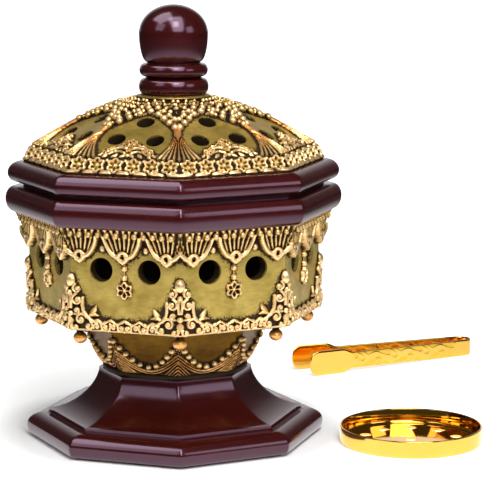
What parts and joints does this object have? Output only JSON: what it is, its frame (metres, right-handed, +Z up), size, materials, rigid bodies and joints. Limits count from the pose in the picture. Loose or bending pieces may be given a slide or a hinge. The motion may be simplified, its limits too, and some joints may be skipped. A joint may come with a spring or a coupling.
{
  "type": "mabkhara incense burner",
  "caption": "Octagonal footed incense burner with a pierced domed lift-off lid, ornament on its sides, a pierced charcoal tray and spring tongs.",
  "frame": {"origin": "on the burner's vertical axis, on the underside of its felt, at table level", "axes": "+Z up; a corner of the octagon points along -Y, toward the viewer, and another along +X, toward the tray"},
  "size_m": [0.2542, 0.2586, 0.2076],
  "materials": {
    "mahogany_lacquer": "glossy red-brown lacquer on cast resin",
    "gold_ground": "satin antique gold paint, rubbed dark near the ornament",
    "gold_relief": "cast ornament, black-brown in its hollows and rubbed with rose gold on its high points",
    "polished_gold": "polished gold plate",
    "base_felt": "dark felt",
    "zinc_steel": "zinc plated"
  },
  "bodies": {
    "burner": {"base_felt": "base_felt", "plinth": "mahogany_lacquer", "tie_washer": "zinc_steel", "tie_screw": "zinc_steel", "lower_cup": "gold_ground", "cup_garland": "gold_relief", "drum": "gold_ground", "bowl_rim": "mahogany_lacquer", "valance": "gold_relief", "corner_mount_1": "gold_relief", "corner_mount_2": "gold_relief", "corner_mount_3": "gold_relief", "corner_mount_4": "gold_relief", "corner_mount_5": "gold_relief", "corner_mount_6": "gold_relief", "corner_mount_7": "gold_relief", "corner_mount_8": "gold_relief", "rosette_drop_1": "gold_relief", "rosette_drop_2": "gold_relief", "rosette_drop_3": "gold_relief", "rosette_drop_4": "gold_relief", "rosette_drop_5": "gold_relief", "rosette_drop_6": "gold_relief", "rosette_drop_7": "gold_relief", "rosette_drop_8": "gold_relief", "corner_ball_1": "gold_relief", "corner_ball_2": "gold_relief", "corner_ball_3": "gold_relief", "corner_ball_4": "gold_relief", "corner_ball_5": "gold_relief", "corner_ball_6": "gold_relief", "corner_ball_7": "gold_relief", "corner_ball_8": "gold_relief"},
    "lid": {"lid_rim": "mahogany_lacquer", "lid_dome": "gold_ground", "lid_blossom_band": "gold_relief", "lid_openwork": "gold_relief", "panel_spray_1": "gold_relief", "panel_spray_2": "gold_relief", "panel_spray_3": "gold_relief", "panel_spray_4": "gold_relief", "panel_spray_5": "gold_relief", "panel_spray_6": "gold_relief", "panel_spray_7": "gold_relief", "panel_spray_8": "gold_relief", "knob_collar": "gold_relief", "knob": "mahogany_lacquer", "knob_washer": "zinc_steel", "knob_screw": "zinc_steel"},
    "tray": {"charcoal_tray": "polished_gold"},
    "tongs": {"tongs_far_arm": "polished_gold"},
    "tongs_near_half": {"tongs_near_arm": "polished_gold"}
  },
  "joints": [
    {"name": "lid_lift", "type": "slide", "parent": "burner", "child": "lid", "axis": [0, 0, 1], "range_m": [0, 0.06]},
    {"name": "tray_lift", "type": "slide", "parent": "burner", "child": "tray", "axis": [0, 0, 1], "range_m": [0, 0.06]},
    {"name": "tongs_lift", "type": "slide", "parent": "burner", "child": "tongs", "axis": [0, 0, 1], "range_m": [0, 0.06]},
    {"name": "tongs_squeeze", "type": "hinge", "parent": "tongs", "child": "tongs_near_half", "pos_m": [0.168, 0.1725, 0.00463], "axis": [-0.0213, -0.0104, -0.9997], "range_deg": [0, 9.3], "stiffness_Nm_per_rad": 0.5}
  ]
}
